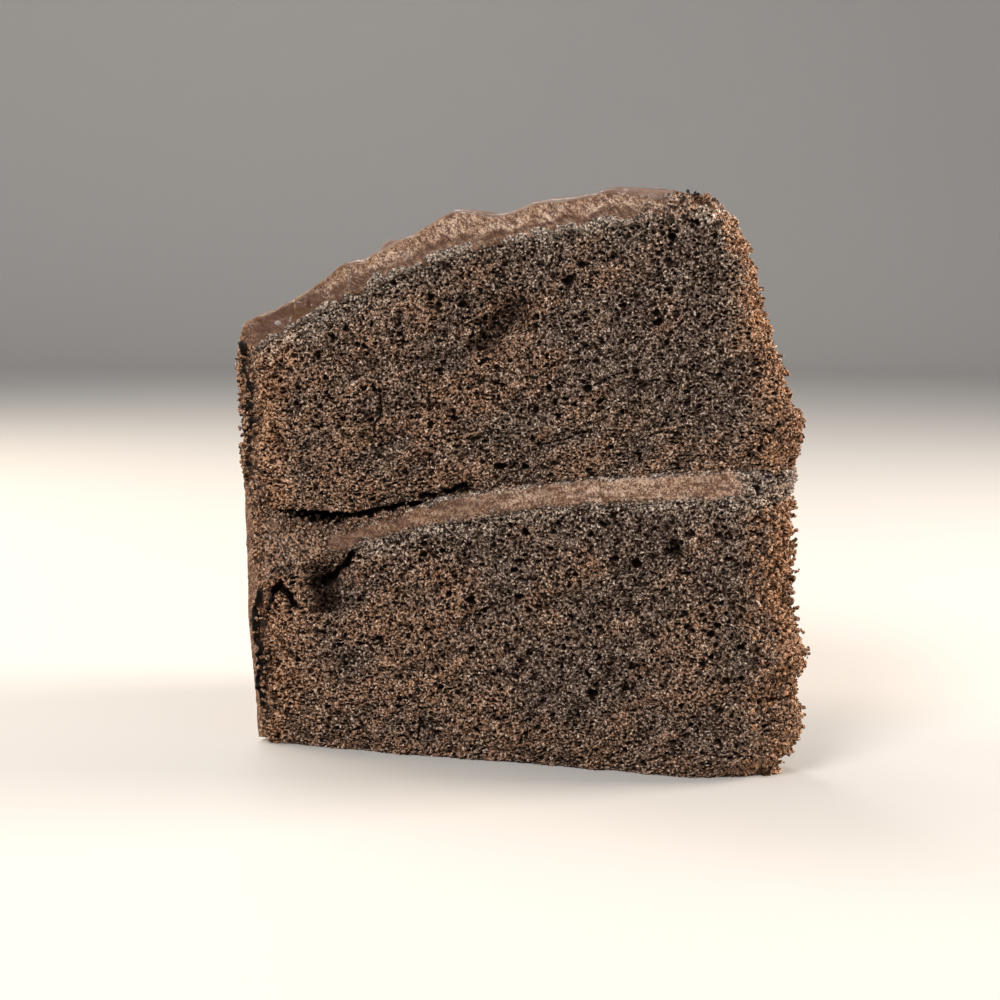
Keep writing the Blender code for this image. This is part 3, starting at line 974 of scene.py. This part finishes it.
def coat_place(along, side):
    """x, y, height and radius of the sponge under the coat, and the ways from tip and corner.

    On the top the height is the dome's, and on the side the radius is the tin's. Each depends on
    the other through the relief of the cut, so they settle in three rounds."""
    on_top = along <= TOP_SHARE
    top_share = np.clip(along / TOP_SHARE, 0, 1)
    side_share = np.clip((along - TOP_SHARE) / (1 - TOP_SHARE), 0, 1)
    edge = tip_radius(side, 0 * side, 99.3 + 0 * side)
    start = edge + 3 + lumps(points_of(side * edge, 0 * side, 0 * side), 1.5, 4, 11)
    corner_r = rim_radius(CORNER_HEIGHT) + GAP
    r = np.where(on_top, start + top_share * (corner_r - start), corner_r)
    height = 95 + 0 * r
    for _ in range(3):
        relief = 0.6 * cut_relief(r, height, side)
        x, y = plan_point(r, side, relief)
        corner_x, corner_y = plan_point(corner_r + 0 * r, side, relief)
        corner_z = upper_top(corner_x, corner_y) + GAP
        down = corner_z + side_share * (ICING_FOOT - corner_z)
        height = np.where(on_top, upper_top(x, y) + GAP, down)
        r = np.where(on_top, r, rim_radius(height) + GAP)
    travel = np.where(on_top, r - corner_r, corner_z - height)
    return x, y, height, r, r - start, travel


# %% Points of the coat
LIP = 1.6
CURL = (90.0, -0.80, 2.6, 1.9)
TURN_LENGTH = 18


def coat_point(along, side, out):
    """The point of the coat at a place on its path, between the cuts, and through its thickness.

    The way through the coat leans from upright on the top to level on the side, by an S-shaped
    share of a quarter turn. Its lip at the cuts is a quarter circle, and one curl stands up."""
    x, y, height, r, from_tip, travel = coat_place(along, side)
    turned = smooth_step(0.37 + travel / TURN_LENGTH)
    lean = turned * math.pi / 2
    thickness = coat_thickness(x, y, r, height, turned, from_tip) * (1 + 0.3 * np.sin(2 * lean))
    from_cut = np.clip((1 - np.abs(side)) * HALF_ANGLE * r / LIP, 0, 1)
    thickness = thickness - 0.55 * LIP * (1 - np.sqrt(1 - (1 - from_cut) ** 2)) * (1 - 0.5 * turned)
    curl_r, curl_side, curl_height, curl_half = CURL
    behind = (side - curl_side) * HALF_ANGLE * r
    curl = curl_height * bell(r - curl_r + 0.5 * behind, curl_half) * bell(behind, 1.4)
    thickness = thickness + curl
    inner = -STICK - 0.3 - lumps(points_of(x, y, height), 0.5, 1.8, 65)
    through = inner + out * (thickness - inner)
    angle = side * HALF_ANGLE
    sideways = through * np.sin(lean)
    x = x - sideways * np.cos(angle)
    y = y + sideways * np.sin(angle)
    return points_of(x, y, height + through * np.cos(lean)), turned, from_tip


# %% The coat's rings
def coat_sides(through, across, under):
    """Side and depth round the coat. The points crowd towards the two cuts."""
    rise = np.linspace(0, 1, through, endpoint=False)
    even = np.linspace(0, 1, across, endpoint=False)
    over = 2 * (even - 0.125 * np.sin(2 * math.pi * even)) - 1
    back = np.linspace(1, -1, under, endpoint=False)
    side = np.concatenate([-1 + 0 * rise, over, 1 + 0 * rise, back])
    return side, np.concatenate([rise, 1 + 0 * over, 1 - rise, 0 * back])


stations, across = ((630, 98))
side, out = (v[None, :] for v in coat_sides(24, across, 10))
along = np.linspace(0, 1, stations)[:, None] + 0 * side
rings, turned, from_tip = coat_point(along, side + 0 * along, out + 0 * along)
normal = outward(rings)
x, y, z = (rings[..., k] for k in range(3))
r = np.hypot(x, y)
print("coat's height, mm:", round(float(z.min()), 1), "to", round(float(z.max()), 1))

# %% Where the coat is a crust
SIDE_FROM = 76.5
CRUST_FROM = 47.0
CRUST_REACH = 13

at_cut = (np.abs(side) > 0.999).astype(float) + 0 * along
outside = smooth_step(4 * out - 3) * (1 - at_cut)
ragged = np.abs(lumps(rings, 7, 8, 26)) * outside
on_side = smooth_step((SIDE_FROM - z + lumps(rings, 0.8, 2, 40) - ragged) / 2.5)
on_side = on_side * (r > 100) * (along > TOP_SHARE)
crust = on_side * smooth_step((z - CRUST_FROM + lumps(rings, 2, 5, 66) - ragged) / 3)
crust = crust * (1 - at_cut * smooth_step((z - 72) / 3))
from_front = (side + 1) * HALF_ANGLE * r
past_crust = from_front - CRUST_REACH + lumps(rings, 9, 9, 25)
crust = crust * (1 - outside * smooth_step(past_crust / 3))
crust = np.clip(crust + bell(from_tip + lumps(rings, 3.5, 3.5, 67), 6) * (1 - turned), 0, 1)
print("share of the coat's points that are crust:", round(float((crust > 0.5).mean()), 3))

# %% Smears of the knife and strokes of the spatula
COAT_LENGTH = 165

run = COAT_LENGTH * along
slant = points_of(run - 6 * out, (run + 5 * out) / 3.5, np.sign(side))
fine_streak = lumps(slant, 0.30, 0.5, 36)
broad_streak = lumps(slant, 0.30, 1.2, 35)
drag = 0.3 * (fine_streak + broad_streak) + lumps(rings, 0.2, 2.1, 62) + lumps(rings, 0.12, 0.9, 39)
stroke = points_of(r, 6 * np.arctan2(y, -x), z / 3)
spread = lumps(stroke, 0.22, 1.6, 63) + lumps(rings, 0.18, 4.0, 64)
curls = 0.6 * np.clip(lumps(stroke, 1, 3.1, 68) - 0.3, 0, 1) * (1 - turned)
level = points_of(0 * r, 5 * np.arctan2(y, -x), z / 2.2)
level_strokes = lumps(level, 0.45, 2.6, 24) + lumps(level, 0.25, 1.1, 20)
spread = spread + turned * level_strokes * smooth_step(from_front / 12)
print("strokes, mm up and down:", round(float(spread.min()), 2), round(float(spread.max()), 2))

# %% Grains, flakes and crumb
CRUMB_UP_TO = ((0, 7, 27, 31, 50, 76), (112.7, 113.1, 113.7, 114.4, 115.6, 115.8))

grains = np.minimum(bubbles(rings, normal, 0.8, (0.18, 0.42), 0.55, 59), 0.45)
knobs = np.minimum(bubbles(rings, normal, 1.7, (0.4, 0.9), 0.5, 69), 1.0) * crust * (1 - 0.7 * at_cut)
flakes = 1.3 * np.clip(lumps(rings, 1, 3.4, 34) - 0.05, 0, 1) * outside * on_side * crust
course = r + lumps(rings, 0.7, 0.9, 60) + lumps(rings, 0.6, 3, 78)
inner_crumb = np.interp(z, *CRUMB_UP_TO) - course + 1.2 * on_side * smooth_step((z - 48) / 3)
inner_crumb = at_cut * on_side * smooth_step(0.5 + inner_crumb / 0.6)
crumbed = np.clip(crust + inner_crumb, 0, 1)
holes, crumb_grains = crumb_relief(rings, normal, 20 + 0 * z)
holes = 1.15 * holes * crumbed
print("deepest hole in the crust, mm:", round(float(holes.max()), 2))

# %% Crevices and folds
CRUST_CREVICE = ((115.9, 75.2), (115.7, 70.3), (115.3, 66.2), (115.1, 61.0), (115.3, 55.4), (115.9, 50.5))
FOOT_CREVICE = ((113.4, 29.0), (113.8, 27.2), (113.5, 17.0), (113.1, 7.2))
FOLD = ((112.2, 79.6), (108.1, 80.8), (103.0, 82.6))

crevice = near_line(course, z, CRUST_CREVICE, 0.34) * np.clip(0.7 + lumps(rings, 0.9, 1.4, 29), 0, 1.3)
crevice = at_cut * np.where(side < 0, crevice + 1.2 * near_line(course, z, FOOT_CREVICE, 0.4), 0)
fold = at_cut * np.where(side < 0, near_line(r + lumps(rings, 0.6, 3, 79), z, FOLD, 1.9), 0)
pleats = fold * lumps(points_of(1.6 * run, 2 * out, 0 * r), 0.4, 1.3, 19)
tucked = at_cut * 0.6 * (1 - smooth_step((out - 0.14 + lumps(rings, 0.1, 1.5, 80)) / 0.16)) * (1 - turned)
height = at_cut * drag + outside * (spread + curls) + knobs + flakes - holes + crumbed * crumb_grains
height += 0.3 * at_cut * (1 - fold) * grains + 0.25 * fold + pleats - 1.8 * crevice - tucked
print("relief of the coat, mm:", round(float(height.min()), 2), round(float(height.max()), 2))

# %% Marks of the coat
depth_in = out + lumps(rings, 0.20, np.array([4, 4, 2.0]), 77) + lumps(rings, 0.12, 1.0, 38)
red_line = bell(depth_in - 0.34, 0.13 + 0.10 * smooth_step((r - 84) / 12))
red = at_cut * (1 - turned) * red_line * (1 - crust) + fold
red = red + 0.5 * at_cut * (1 - turned) * smooth_step((r - 98 + lumps(rings, 5, 2.6, 18)) / 9)
buried = (1 - at_cut) * (1 - smooth_step(out / 0.5))
smeared = at_cut * (1 - turned) * smooth_step((0.24 - depth_in + lumps(rings, 0.16, 1.6, 17)) / 0.16)
smear_frost = 0.75 - 0.5 * smooth_step((r - 98) / 8)
# Pit paints shade in holes, crevices and faces buried against the sponge; torn paints warm light on the
# crumbed parts; side brings the side's painted warm light; the film mark adds painted highlight flecks.
marks = {
    "cut": at_cut * (1 - 0.8 * fold),
    "pit": np.clip(pit_of(holes + 1.5 * crevice) + buried, 0, 1),
    "crumby": np.clip(crumbed + smeared, 0, 1),
    "torn": crumbed * 0.65,
    "warm": crumbed,
    "film_and_glints": np.clip(0.4 * crust * (1 - turned) + smeared * smear_frost, 0, 1),
    "streak": np.clip(0.5 + 1.1 * fine_streak + 0.25 * broad_streak, 0, 1),
    "side": turned,
    "pale": at_cut * bell(depth_in - 0.62, 0.24) * smooth_step((112 - r) / 14),
    "red": np.clip(red + 0.15 * turned * (1 - crust), 0, 1),
}
rings = rings + height[..., None] * normal
marks = {mark: values + 0 * along for mark, values in marks.items()}
take_place(closed_tube("icing_coat", rings, marks, coat_icing), "icing")

# %% [markdown]
# ## Loose-looking crumbs
#
# Grains raised from a surface can't hang over it, but torn crumb does. So small separate lumps
# are set on the torn tip, on the crust of the side, where the icing ends and along the open
# crack. They come in clusters, and each is an eight-sided solid with its faces split once,
# pushed about by noise.

# %% A crumb
def crumb_shape():
    """Corners and faces of an octahedron with each face split in four, drawn onto a ball."""
    points = [(1, 0, 0), (0, 1, 0), (-1, 0, 0), (0, -1, 0), (0, 0, 1), (0, 0, -1)]
    faces = [(0, 1, 4), (1, 2, 4), (2, 3, 4), (3, 0, 4), (1, 0, 5), (2, 1, 5), (3, 2, 5), (0, 3, 5)]
    between = {}
    split = []
    for face in faces:
        middle = []
        for a, b in ((0, 1), (1, 2), (2, 0)):
            pair = tuple(sorted((face[a], face[b])))
            if pair not in between:
                between[pair] = len(points)
                points.append(tuple((p + q) / 2 for p, q in zip(points[pair[0]], points[pair[1]])))
            middle.append(between[pair])
        ab, bc, ca = middle
        split += [(face[0], ab, ca), (ab, face[1], bc), (ca, bc, face[2]), (ab, bc, ca)]
    points = np.array(points, float)
    return points / np.linalg.norm(points, axis=1, keepdims=True), np.array(split)


ball, ball_faces = crumb_shape()
print("faces of one crumb:", len(ball_faces))


# %% Clusters of crumbs
def clusters(rng, centres, outwards, count, step, radii):
    """Places and radii of crumbs: each cluster is a short chain that wanders out of the crumb."""
    turns = rng.normal(0, 1, (len(centres), count, 3))
    turns /= np.linalg.norm(turns, axis=-1, keepdims=True)
    turns = turns + 0.35 * outwards[:, None, :]
    places = centres[:, None, :] + step * np.cumsum(turns, axis=1)
    return places.reshape(-1, 3), rng.uniform(*radii, len(centres) * count)


def crumbs(name, places, radii, seed, marks, finish):
    """One mesh of many crumbs: the ball at each place, each point pushed in or out by noise."""
    points = places[:, None, :] + radii[:, None, None] * ball
    pushed = 1 + lumps(points, 0.55, 0.42, seed) + lumps(points, 0.25, 0.2, seed + 1)
    points = places[:, None, :] + pushed[..., None] * (points - places[:, None, :])
    faces = ball_faces[None] + (np.arange(len(places)) * len(ball))[:, None, None]
    corners = faces.ravel()
    starts = np.arange(len(corners) // 3) * 3
    marks = {mark: value + np.zeros(points.shape[:2]) for mark, value in marks.items()}
    # Painted shade: where noise pushes a crumb in, its colour is darker.
    marks["pit"] = np.clip(0.85 - 0.8 * pushed, 0, 1)
    return mesh_object(name, points.reshape(-1, 3), corners, starts, 0, marks, finish)


# %% Crumbs on the torn tip
def crumbs_on_tip(node, layer, count, rng, seed):
    """Clusters over the torn tip of a layer."""
    side = rng.uniform(-1, 1, (1, count)) * 0.98
    up = rng.uniform(0.02, 0.98, (1, count))
    centres = layer_point(side, 0 * side, up, *layer)[0]
    angle = side[0] * math.radians(60)
    outwards = points_of(np.cos(angle), np.sin(angle), 0 * angle)
    places, radii = clusters(rng, centres - 0.5 * outwards, outwards, 6, 0.36, (0.16, 0.40))
    places[:, 2] = np.maximum(places[:, 2], 0.5)
    # The torn mark paints warm light on these crumbs, as on the tip.
    piece = crumbs(node + "_crumbs", places, radii, seed, {"torn": 0.9}, sponge_crumb)
    take_place(piece, node)


rng = np.random.default_rng(17)
crumbs_on_tip("lower_sponge", (base, lower_top, 1), 420, rng, 81)
crumbs_on_tip("upper_sponge", (upper_bottom, upper_top, 1), 450, rng, 83)

# %% Crumbs stuck to the icing
chance = 0.016 * (out > 0.98) + 0.05 * at_cut * on_side * (out < 0.98)
picked = np.argwhere((crumbed > 0.6) & (rng.uniform(0, 1, crust.shape) < chance))
centres = rings[picked[:, 0], picked[:, 1]]
outwards = normal[picked[:, 0], picked[:, 1]]
places, radii = clusters(rng, centres - 0.3 * outwards, outwards, 4, 0.34, (0.16, 0.42))
# The torn mark paints warm light on these crumbs.
piece = crumbs("icing_crumbs", places, radii, 85, {"torn": 0.6, "warm": 1}, sponge_crumb)
take_place(piece, "icing")

# %% Crumbs along the open crack
CRACK_FROM = 84
CRACK_TO = 112.5
CRACK_CLUSTERS = 260

radius = rng.uniform(CRACK_FROM, CRACK_TO, CRACK_CLUSTERS)
depth_in = rng.uniform(0, 1, CRACK_CLUSTERS) ** 2 * 5
x, y = plan_point(radius, -1 + depth_in / (radius * HALF_ANGLE), 0 * radius)
centres = points_of(x, y, filling_top(x, y) + rng.uniform(-1.2, 0.1, CRACK_CLUSTERS))
outwards = np.tile([-0.2, -0.6, 0.5], (CRACK_CLUSTERS, 1))
places, radii = clusters(rng, centres, outwards, 5, 0.34, (0.18, 0.42))
piece = crumbs("filling_crumbs", places, radii, 87, {"warm": 0.7}, sponge_crumb)
take_place(piece, "filling")

# %% [markdown]
# ## Floor, light and background
#
# A pale floor that curves up behind, one large soft lamp from the front, two warmer lamps from
# behind at the sides, which draw the bright edge along the torn tip, and a weak one from above.

# %% Floor
def floor_finish():
    """Plain matt off-white."""
    pale = Finish("pale floor", Roughness=0.6)
    pale.colour((0.50, 0.495, 0.49))
    return pale.material


def sweep(name, half_width, near, far, height):
    """A floor that bends up into a wall along a quarter circle, as a profile carried sideways."""
    bend = 0.5
    turn = np.linspace(0, math.pi / 2, 24)
    run = np.concatenate([[near], far - bend + bend * np.sin(turn), [far]])
    rise = np.concatenate([[0], bend - bend * np.cos(turn), [height]])
    x, y = np.meshgrid([-half_width, half_width], run)
    z = np.meshgrid([0, 0], rise)[1]
    places = np.stack([x, y, z], axis=-1).reshape(-1, 3)
    number = np.arange(len(places)).reshape(-1, 2)
    quads = np.stack([number[:-1, 0], number[:-1, 1], number[1:, 1], number[1:, 0]], axis=-1)
    mesh = bpy.data.meshes.new(name)
    mesh.from_pydata(places.tolist(), [], quads.tolist())
    mesh.transform(Matrix.Rotation(VIEW_TURN, 4, "Z"))
    mesh.shade_smooth()
    mesh.materials.append(floor_finish())
    floor = bpy.data.objects.new(name, mesh)
    bpy.context.scene.collection.objects.link(floor)
    return floor


sweep("floor", 4.0, -3.0, 2.0, 3.0)


# %% Lamps
def lamp(name, place, aim, size, power, colour):
    """A square soft lamp. Its place is given from the slice, along the camera's own directions."""
    light = bpy.data.lights.new(name, "AREA")
    light.size = size
    light.energy = power
    light.color = colour
    holder = bpy.data.objects.new(name, light)
    where = turned_view @ Vector(place)
    holder.location = where
    holder.rotation_euler = (Vector(aim) - where).to_track_quat("-Z", "Y").to_euler()
    bpy.context.scene.collection.objects.link(holder)


lamp("front light", (-0.5, -0.9, 0.9), (0, 0, 0.05), 0.45, 15, (1.0, 0.97, 0.94))
lamp("right light", (0.75, 0.1, 0.32), (0, 0, 0.05), 0.35, 13, (1.0, 0.87, 0.74))
lamp("left light", (-0.7, 0.35, 0.35), (0, 0, 0.06), 0.4, 8.5, (1.0, 0.81, 0.60))
lamp("top light", (-0.25, 0.45, 0.85), (0, 0, 0.08), 0.4, 4, (1.0, 0.99, 0.97))
world = bpy.data.worlds.new("studio")
world.use_nodes = True
world.node_tree.nodes["Background"].inputs["Color"].default_value = (1.0, 0.98, 0.96, 1)
world.node_tree.nodes["Background"].inputs["Strength"].default_value = 0.38
bpy.context.scene.world = world
bpy.context.scene.view_settings.view_transform = "Standard"
print("lamps and world ready")
